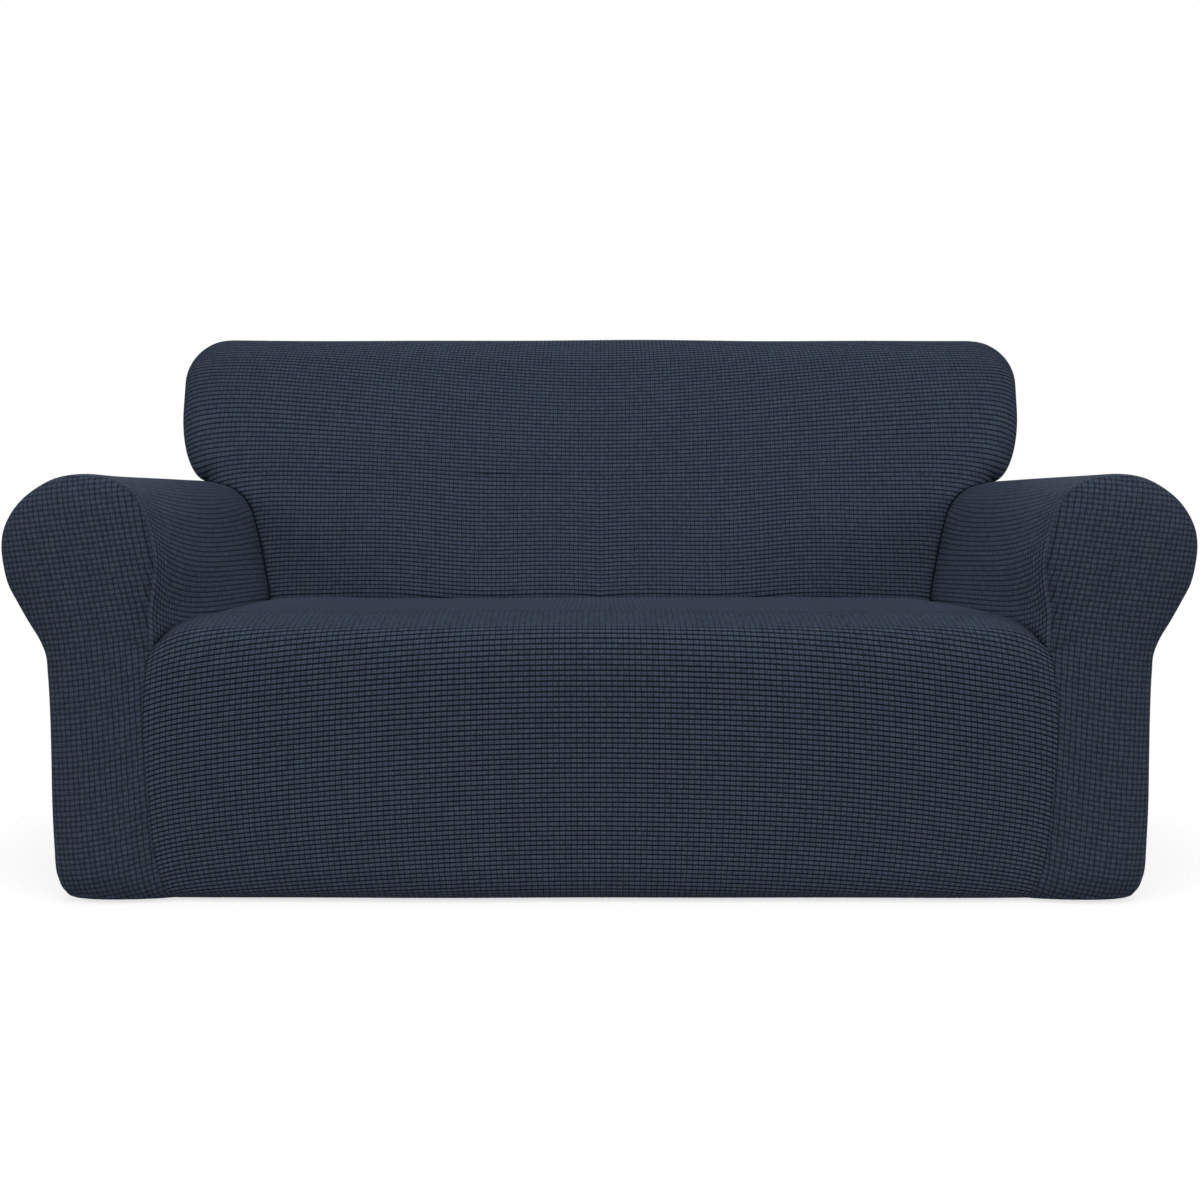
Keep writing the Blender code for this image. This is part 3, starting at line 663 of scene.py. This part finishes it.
ARM_FRONT_SWELL = 0.0215
RIM_EASE = 0.018         # how far the rim's pull reaches into the panel
SEAM_EASE = 0.030        # how far the skirt seam's pull reaches into it


def skirt_seam():
    """The seam between skirt and arm front, from the hem's edge up to the crotch."""
    places = np.arange(CROTCH_ROW * SKIRT_STEPS + 1) / SKIRT_STEPS
    seam = read_table(SKIRT, places)[:3].T
    lift = np.clip(places - CROTCH_ROW + 1, 0, 1)[:, None] ** 2
    return places, seam + (FRONT_RIM[0] - seam[-1]) * lift


skirt_places, SKIRT_SEAM = skirt_seam()
SKIRT_GROOVE = 0.0006
skirt_pull = np.clip(skirt_places[:, None] / 3, 0, 1) * np.array((0.0, SKIRT_GROOVE, 0.0))
# The last number is the painted shade along the skirt seam.
PULLS.append((SKIRT_SEAM, skirt_pull, 0.0035, 0.12))


def resampled(line, places):
    """A line of points read at places counted in its points."""
    at = np.arange(len(line))
    return np.stack([np.interp(places, at, column) for column in line.T], axis=-1)


def make_arm_fronts():
    """Chords from the inner edge to the rim, swelling forward away from both edges.

    A point lies at the swollen depth, less what is left of the nearer edge's pull, which
    dies away over the distance to that edge. A low welt stands just inside the rim. The
    knit's rows climb to the inner edge, and its columns turn outwards in the roll.
    """
    welt_height, welt_place, welt_width = 0.0016, 0.0075, 0.0035
    outer_x, lean, bend_start = 0.885, 0.11, 0.10
    roll_turn, roll_z, roll_blend = 0.17, 0.40, 0.03
    painted_light_by_z = (
        # z     light
        (0.00,  0.78),
        (0.46,  0.72),
    )
    rows = (LAST_ROW - CREST_ROW) * ROWS_PER_STEP
    crest = int(np.searchsorted(arm_places, CREST_ROW))
    outer = FRONT_RIM[:crest - 1:-1]
    low_rows = CROTCH_ROW * ROWS_PER_STEP
    inner_rim = resampled(FRONT_RIM[:crest + 1], np.linspace(0, crest, rows - low_rows + 1))
    inner_low = resampled(SKIRT_SEAM, np.linspace(0, len(SKIRT_SEAM) - 1, low_rows + 1))
    inner = np.vstack([inner_low, inner_rim[1:]])
    places = np.arange(rows + 1) / ROWS_PER_STEP
    inset, _, swell = hem_at(places)
    share = graded(FRONT_COLUMNS, 0.85)[None, :, None]
    points = inner[:, None] * (1 - share) + outer[:, None] * share
    flat = points[..., (0, 2)]
    rim_away, _ = nearest_on_line(flat, FRONT_RIM[:-ROWS_PER_STEP, (0, 2)])
    seam_away, _ = nearest_on_line(flat, SKIRT_SEAM[SKIRT_STEPS:, (0, 2)])
    swollen = (RIM_SEAM + inset - ARM_FRONT_SWELL * swell)[:, None]
    from_rim = (outer[:, None, 1] - swollen) * np.exp(-rim_away / RIM_EASE)
    from_seam = (inner[:, None, 1] - swollen) * np.exp(-seam_away / SEAM_EASE)
    welt = welt_height * np.exp(-((rim_away - welt_place) / welt_width) ** 2) * swell[:, None]
    points[..., 1] = swollen + np.maximum(from_rim, from_seam) - welt
    settle = np.clip(1 - places, 0, 1)[:, None] ** 2
    points[..., 1] += (inner[0, 1] - points[..., 1]) * settle
    points[:, 0], points[:, -1] = inner, outer
    x, z = points[..., 0], points[..., 2]
    under = np.maximum(points[..., 1] - RIM_SEAM, 0) * np.clip(1 - z / 0.02, 0, 1)
    bend = np.interp(z, (0.35, 0.42), (0.80, 0.12)) * np.maximum(outer_x - x - bend_start, 0) ** 2
    turned = roll_turn * roll_blend * np.log1p(np.exp((z - roll_z) / roll_blend))
    across = x - 0.05 * z - turned + 0.01 * np.exp(-z / 0.05)
    cloth = np.stack([across, z - under - lean * (outer_x - x) - bend], axis=-1)
    # Painted light and shade: the arm front is a little darker towards its top.
    light = by_pairs(painted_light_by_z, z)
    knit = navy_knit("arm front knit", (0.0080, 0.0080), (0.56, 0.54), 0.08, 0.42)
    for side, name in ((1.0, "right"), (-1.0, "left")):
        turn = np.array((side, 1.0, 1.0))
        patches = [(points * turn, cloth, 1.0, 0.0, light, None)]
        panel = knit_sheet(f"fine_arm_front_{name}", patches, side < 0)
        dress(panel, f"arm_front_{name}", knit, surface_area(points))


make_arm_fronts()

# ---- Seat and front skirt ----------------------------------------------------------------
# One piece of knit from the crease at the back of the seat, over the soft front edge and
# down to the hem at the floor. It turns down late into its seams with the arms.
ACROSS_COLUMNS = 98      # fine columns from the middle of the cover to its side


def across_places(columns):
    """Places from the middle to the side, drawn together at the side by a cosine."""
    t = np.linspace(0, 1, columns + 1)
    return t + 0.8 * np.sin(math.pi * t) / math.pi


def mirrored(grid, flip=(-1.0, 1.0, 1.0)):
    """A half panel, middle line first, made whole: x or the cloth's width changes sign."""
    return np.concatenate([grid[:, :0:-1] * np.array(flip), grid], axis=1)


def make_seat_skirt():
    """Middle line and side seams, mixed across by a high power of the share of the width.

    The knit's rows arch: a row lies lower at the sides, by a square and a fourth power of
    x, and drops again close to the seam, most at the seat. Rows of the front spread a
    little upwards, and columns draw together at the hem and at the seat. The seat shows
    columns alone, because its rows lie too flat to be seen. The seat is painted lighter
    towards its rear and its sides, where the back and arms shade it, and the skirt is
    painted a little darker towards its top.
    """
    front_length, front_spread = 0.45, 0.20
    drop_by_z = (
        # z     drop
        (0.33,  0.006),
        (0.42,  0.030),
    )
    seat_painted_light = (
        # y      light
        (0.000,  0.57),
        (0.115,  0.62),
        (0.260,  0.77),
        (0.433,  0.87),
        (0.564,  1.04),
        (0.600,  1.15),
    )
    side_painted_light, side_reach = 0.42, 0.15
    front_painted_light = (
        # z     light
        (0.00,  0.98),
        (0.38,  0.82),
    )
    steps_of_seat = 1 + 4 * graded(ARM_COLUMNS, ARM_EASE)[1:]
    seat_share = np.concatenate([np.linspace(0, 1, RIM_COLUMNS + 1)[1:], steps_of_seat])
    places = np.concatenate([skirt_places, CROTCH_ROW + seat_share])
    middle = read_table(SKIRT, places)[3:].T
    side = np.vstack([SKIRT_SEAM, SEAT_SIDE[1:]])
    across = across_places(ACROSS_COLUMNS)
    points = np.empty((len(side), across.size, 3))
    points[..., 0] = side[:, :1] * across
    for axis, power in ((1, 7), (2, 24)):
        share = across[None, :] ** power
        points[..., axis] = middle[:, axis - 1:axis] * (1 - share) + side[:, axis:axis + 1] * share
    step = np.linalg.norm(np.diff(points, axis=0), axis=-1)
    length = np.vstack([np.zeros(across.size), np.cumsum(step, axis=0)])
    x, z = points[..., 0], points[..., 2]
    arch = 0.09 * x ** 2 + 0.065 * x ** 4
    from_side = side[:, :1] - x
    drop = by_pairs(drop_by_z, z) * np.exp(-from_side / 0.025)
    across_cloth = x * (1 + 0.12 * z + 0.0768 * (np.exp(-z / 0.16) - 1))
    front = np.minimum(length, front_length)
    spread = front_spread * front * (front_length - front)
    cloth = np.stack([across_cloth, length + spread + arch + drop], axis=-1)
    ribs = np.clip((CROTCH_ROW + 0.5 - places) / 0.4, 0, 1)
    y = points[..., 1]
    # Painted light and shade: lighter towards the seat's rear and sides, and darker towards the skirt's
    # top.
    light = by_pairs(seat_painted_light, y)
    light = light + side_painted_light * np.exp(-from_side / side_reach) * np.clip(y / 0.2, 0, 1)
    light = light + (by_pairs(front_painted_light, z) - light) * ribs[:, None]
    light = np.concatenate([light[:, :0:-1], light], axis=1)
    knit = navy_knit("skirt knit", (0.0084, 0.0073), (0.56, 0.94))
    panel = knit_sheet("fine_seat_skirt", [
        (mirrored(points), mirrored(cloth, (-1.0, 1.0)), ribs[:, None], 0.0, light, None)])
    dress(panel, "seat_skirt", knit, 2 * surface_area(points))
    return points[-1]


# The seat's rear seam is drawn back and down under the inside back.
SEAT_REAR_LINE = np.array([
    (0.00, SEAT_BACK_Y, SEAT_MIDDLE_Z),
    (0.45, SEAT_BACK_Y, SEAT_MIDDLE_Z),
    SEAT_SIDE[-1],
])
SEAT_REAR_PULL = (0.0, 0.0052, -0.0039)
PULLS.append((SEAT_REAR_LINE, np.tile(SEAT_REAR_PULL, (3, 1)), 0.0045, 0.0))
seat_rear = make_seat_skirt()

# ---- Inside back ---------------------------------------------------------------------------
# One piece of knit for the T-shaped inside back: between the arms at its foot, out over
# both wings above them, and over the crest to the rear rim.


def patch(bottom, top, middle, side):
    """A surface between four edge lines: mixes of the facing edges, less that of the corners."""
    u = across_places(len(bottom) - 1)[None, :, None]
    v = np.linspace(0, 1, len(side))[:, None, None]
    across = (1 - u) * middle[:, None] + u * side[:, None]
    up = (1 - v) * bottom[None] + v * top[None]
    corners = (1 - v) * ((1 - u) * bottom[0] + u * bottom[-1]) + v * ((1 - u) * top[0] + u * top[-1])
    return across + up - corners


def make_inside_back():
    """The face between the arms and the wing outline, and the strip round wings and crest.

    The knit's rows sag to the middle in a soft V, deeper near the crest, and bend down at
    the side; they lie closer at the crest. Low down they ripple a little. Its columns fade
    towards the wings' sides and the arms. Where the cloth rolls over its free edge, its
    flat place runs on along the outline's normal.
    """
    notch_points = 8
    sag_by_z = (
        # z      sag
        (0.470,  0.030),
        (0.556,  0.040),
        (0.660,  0.050),
        (0.750,  0.060),
        (0.830,  0.085),
        (0.900,  0.100),
    )
    sag_bend = 0.12
    ripple_height, ripple_length, ripple_start = 0.00266, 0.334, 0.167
    painted_light_by_z = (
        # z     light
        (0.45,  1.10),
        (0.54,  0.99),
        (0.70,  0.88),
        (0.86,  0.84),
    )
    edge_x, edge_z, corner = wing_outline()
    outline = np.stack([edge_x, edge_z], axis=-1)
    side = np.vstack([CREASE_LINE[:, (0, 2)], outline[1:corner + 1]])
    bottom = seat_rear[:, (0, 2)]
    top_line = outline[corner:][::-1]
    spacing = np.concatenate([[0], np.cumsum(np.linalg.norm(np.diff(top_line, axis=0), axis=1))])
    wanted = across_places(len(bottom) - 1) * spacing[-1]
    top = np.stack([np.interp(wanted, spacing, top_line[:, k]) for k in (0, 1)], axis=-1)
    climb = (side[:, 1] - side[0, 1]) / (side[-1, 1] - side[0, 1])
    middle_z = bottom[0, 1] + climb * (top[0, 1] - bottom[0, 1])
    middle = np.stack([np.zeros_like(climb), middle_z], axis=-1)
    flat = patch(bottom, top, middle, side)
    depth = back_depth(flat[..., 0], flat[..., 1])
    points = np.stack([flat[..., 0], depth, flat[..., 1]], axis=-1)
    points[0, :, 1] = seat_rear[:, 1]
    points[:NOTCH + 1, -1] = CREASE_LINE

    away, place = nearest_on_line(flat, outline)
    out_x, out_z = outward_in_plane(edge_x[::-1, None], edge_z[::-1, None])
    outward = np.stack([out_x[::-1, 0], out_z[::-1, 0]], axis=-1)
    outward[0] = notch_normal()
    outward[-1] = (0.0, 1.0)
    d = np.clip(away, 0, BACK_EDGE)
    rolled = BACK_EDGE * np.arcsin(1 - d / BACK_EDGE) - (BACK_EDGE - d)
    rolled = rolled * np.clip(place / (notch_points + 1), 0, 1) ** 2
    cloth = flat + resampled(outward, place.ravel()).reshape(flat.shape) * rolled[..., None]
    x, z = flat[..., 0], flat[..., 1]
    sag = by_pairs(sag_by_z, z) * sag_bend * np.log(np.cosh(x / sag_bend))
    ripple = ripple_height * np.sin(2 * math.pi * (x - ripple_start) / ripple_length)
    ripple = ripple * np.clip((0.70 - z) / 0.10, 0, 1)
    from_wing, _ = nearest_on_line(flat, outline[notch_points:corner + 1])
    from_arm, _ = nearest_on_line(flat, CREASE_LINE[:, (0, 2)])
    cloth[..., 1] += (0.05 * np.exp((z - CREST_HEIGHT) / 0.05) - 0.04 * z - sag + ripple
                      + 0.036 * np.exp(-from_wing / 0.065) + 0.012 * np.exp(-from_arm / 0.05))
    cloth[..., 0] *= 1 + 0.0175 * np.exp((z - 0.90) / 0.05)

    # Painted light and shade: the back is lighter low down, where the seat and arms shade it, and
    # darker near the wings. It is also darker where its columns fade.
    light = by_pairs(painted_light_by_z, z)
    fade = np.maximum(0.80 * np.exp(-(from_wing / 0.10) ** 2), 0.70 * np.exp(-from_arm / 0.03))
    light = light - 0.08 * np.exp(-from_wing / 0.08) - 0.13 * fade
    rim_fade, rim_painted_light = (np.concatenate([value[NOTCH:, -1], value[-1, -2::-1]])[:, None]
                           for value in (fade, light))
    fade, light = (np.concatenate([value[:, :0:-1], value], axis=1) for value in (fade, light))

    rim_points = np.vstack([points[NOTCH:, -1], points[-1, -2::-1]])
    rim_cloth = np.vstack([cloth[NOTCH:, -1], cloth[-1, -2::-1]])
    _, at = nearest_on_line(rim_points[:, (0, 2)], outline)
    away_out = resampled(outward, at)
    rear = rear_depth(rim_points[:, 2])
    tail = graded(TAIL_COLUMNS, 0.5)
    rim = np.linspace(RIM_SEAM, RIM, RIM_COLUMNS + 1)
    reach = (rear - RIM - rim_points[:, 1])[:, None]
    y = np.hstack([rim_points[:, 1:2] + reach * tail, rear[:, None] - rim[-2::-1]])
    turn = rim_inset(rear[:, None] - y)
    strip = np.stack([rim_points[:, :1] - away_out[:, :1] * turn, y,
                      rim_points[:, 2:] - away_out[:, 1:] * turn], axis=-1)
    strip[0] = JUNCTION
    run = (y - rim_points[:, 1:2])[..., None]
    strip_cloth = rim_cloth[:, None] + away_out[:, None] * run
    left = np.array((-1.0, 1.0, 1.0))
    knit = navy_knit("back knit", (0.0087, 0.0077), (0.55, 0.82))
    panel = knit_sheet("fine_inside_back", [
        (mirrored(points), mirrored(cloth, (-1.0, 1.0)), 1.0, fade, light, None),
        (strip, strip_cloth, 1.0, rim_fade, rim_painted_light, None),
        ((strip * left)[::-1], (strip_cloth * left[:2])[::-1], 1.0,
         rim_fade[::-1], rim_painted_light[::-1], None),
    ])
    dress(panel, "inside_back", knit, 2 * (surface_area(points) + surface_area(strip)))
    return strip[:, -1], corner


back_rim, BACK_CORNER = make_inside_back()

# ---- Outer back ------------------------------------------------------------------------------
# The plain rear panel, hidden in the photo: one flat piece of the same knit inside the rear
# rims of arms, wings and crest, with a turned-in hem.


def make_outer_back():
    """A flat face between the rear rims, swelling a little, and turned in at the floor."""
    swell_height, ease = 0.012, 0.012
    low_side = REAR_RIM[::-1]
    side = np.vstack([low_side[:-1], back_rim[:BACK_CORNER + 1]])
    top = back_rim[BACK_CORNER:][::-1]
    wanted = across_places(ACROSS_COLUMNS)
    spacing = np.concatenate([[0], np.cumsum(np.linalg.norm(np.diff(top, axis=0), axis=1))])
    top = resampled(top, np.interp(wanted * spacing[-1], spacing, np.arange(len(top))))
    across, upright = np.array((1.0, 0.0, 0.0)), np.array((0.0, 1.0, 1.0))
    bottom = side[0] * across * wanted[:, None] + side[0] * upright
    share = (side[:, 2] / side[-1, 2])[:, None]
    middle = side * upright + (top[0] - side[-1]) * upright * share
    points = patch(bottom, top, middle, side)
    places = np.arange(len(side)) / ROWS_PER_STEP
    _, _, swell = hem_at(places)
    outline = np.vstack([side[ROWS_PER_STEP:], top[-2::-1]])
    away, _ = nearest_on_line(points[..., (0, 2)], outline[:, (0, 2)])
    points[..., 1] += swell_height * swell[:, None] * (1 - np.exp(-away / ease))
    under = np.clip(1 - points[..., 2] / 0.02, 0, 1) * (REAR_Y_FLOOR - points[..., 1])
    cloth = np.stack([points[..., 0], points[..., 2] - under], axis=-1)
    light = 0.95
    knit = navy_knit("rear knit", (0.0084, 0.0075), (0.56, 0.86))
    panel = knit_sheet("fine_outer_back", [
        (mirrored(points), mirrored(cloth, (-1.0, 1.0)), 1.0, 0.0, light, None)], True)
    dress(panel, "outer_back", knit, 2 * surface_area(points))


make_outer_back()

# ---- Studio ----------------------------------------------------------------------------------
# A pale floor that fades into an even pale surround, two broad keys that each light the far
# arm's inside, and softer lights from above and behind. The camera stands where the photo's did.
CAMERA_DISTANCE = 1.735
CAMERA_HEIGHT = 0.552
HORIZON_SHIFT = -68 / 1200

LAMPS = (
    # name         place              target            size        watts
    ("top light",  (0.0, -1.5, 3.2),  (0.0, 0.4, 0.4),  (3.5, 2.0), 90),
    ("left key",   (-3.8, -2.5, 2.2), (0.7, 0.3, 0.5),  (2.5, 2.0), 90),
    ("right key",  (3.8, -2.5, 2.2),  (-0.7, 0.3, 0.5), (2.5, 2.0), 90),
    ("rear light", (0.0, 4.2, 2.4),   (0.0, 0.6, 0.5),  (3.5, 2.0), 110),
)


def add_to_scene(name, data):
    """A new object of the scene that holds a mesh, lamp or camera."""
    thing = bpy.data.objects.new(name, data)
    bpy.context.scene.collection.objects.link(thing)
    return thing


def area_light(name, place, target, size, power):
    """A broad soft lamp at a place, turned to face a target."""
    lamp = bpy.data.lights.new(name, "AREA")
    lamp.shape = "RECTANGLE"
    lamp.size, lamp.size_y = size
    lamp.energy = power
    thing = add_to_scene(name, lamp)
    start, end = np.array(place) - ORIGIN, np.array(target) - ORIGIN
    thing.location = start
    thing.rotation_euler = Vector(end - start).to_track_quat("-Z", "Y").to_euler()


def make_floor():
    """A plain pale square under the hem that thins out to nothing all round the cover."""
    reach, gap, strength = 12.0, 0.0015, 0.32
    mesh = bpy.data.meshes.new("studio floor")
    corners = np.array([(-reach, -reach, 0), (reach, -reach, 0), (reach, reach, 0), (-reach, reach, 0)])
    mesh.from_pydata(corners - ORIGIN - np.array((0, 0, gap)), [], [(0, 1, 2, 3)])
    floor = add_to_scene("studio_floor", mesh)
    paint = bpy.data.materials.new("pale floor")
    paint.use_nodes = True
    shader = paint.node_tree.nodes["Principled BSDF"]
    shader.inputs["Base Color"].default_value = (0.90, 0.90, 0.90, 1.0)
    shader.inputs["Roughness"].default_value = 0.9
    tool = Shade(paint.node_tree)
    place = tool.node("ShaderNodeTexCoord", {}, {}, 3)
    around = tool.node("ShaderNodeVectorMath", {"operation": "LENGTH"}, {0: place}, 1)
    shown = (1 - around.rise(1.2, 2.4)) * strength
    paint.node_tree.links.new(shown.socket, shader.inputs["Alpha"])
    mesh.materials.append(paint)


def make_surround():
    """An even white world: full to the camera, and half as strong as a light."""
    world = bpy.data.worlds.new("pale surround")
    bpy.context.scene.world = world
    world.use_nodes = True
    tree = world.node_tree
    path = tree.nodes.new("ShaderNodeLightPath")
    seen = tree.nodes.new("ShaderNodeMapRange")
    seen.inputs["To Min"].default_value = 0.5
    seen.inputs["To Max"].default_value = 1.0
    tree.links.new(path.outputs["Is Camera Ray"], seen.inputs["Value"])
    tree.links.new(seen.outputs[0], tree.nodes["Background"].inputs["Strength"])
    tree.nodes["Background"].inputs["Color"].default_value = (1.0, 1.0, 1.0, 1.0)


def make_camera():
    """A level camera in front of the cover; the shift moves the picture, as in the photo."""
    lens = bpy.data.cameras.new("photo view")
    lens.lens, lens.sensor_width = 35.0, 36.0
    lens.shift_y = HORIZON_SHIFT
    lens.clip_start = 0.05
    camera = add_to_scene("photo view", lens)
    camera.location = np.array((0.0, -CAMERA_DISTANCE, CAMERA_HEIGHT)) - ORIGIN
    camera.rotation_euler = (math.pi / 2, 0.0, 0.0)
    bpy.context.scene.camera = camera


make_floor()
make_surround()
for lamp_row in LAMPS:
    area_light(*lamp_row)
bpy.context.scene.view_settings.view_transform = "Standard"
make_camera()
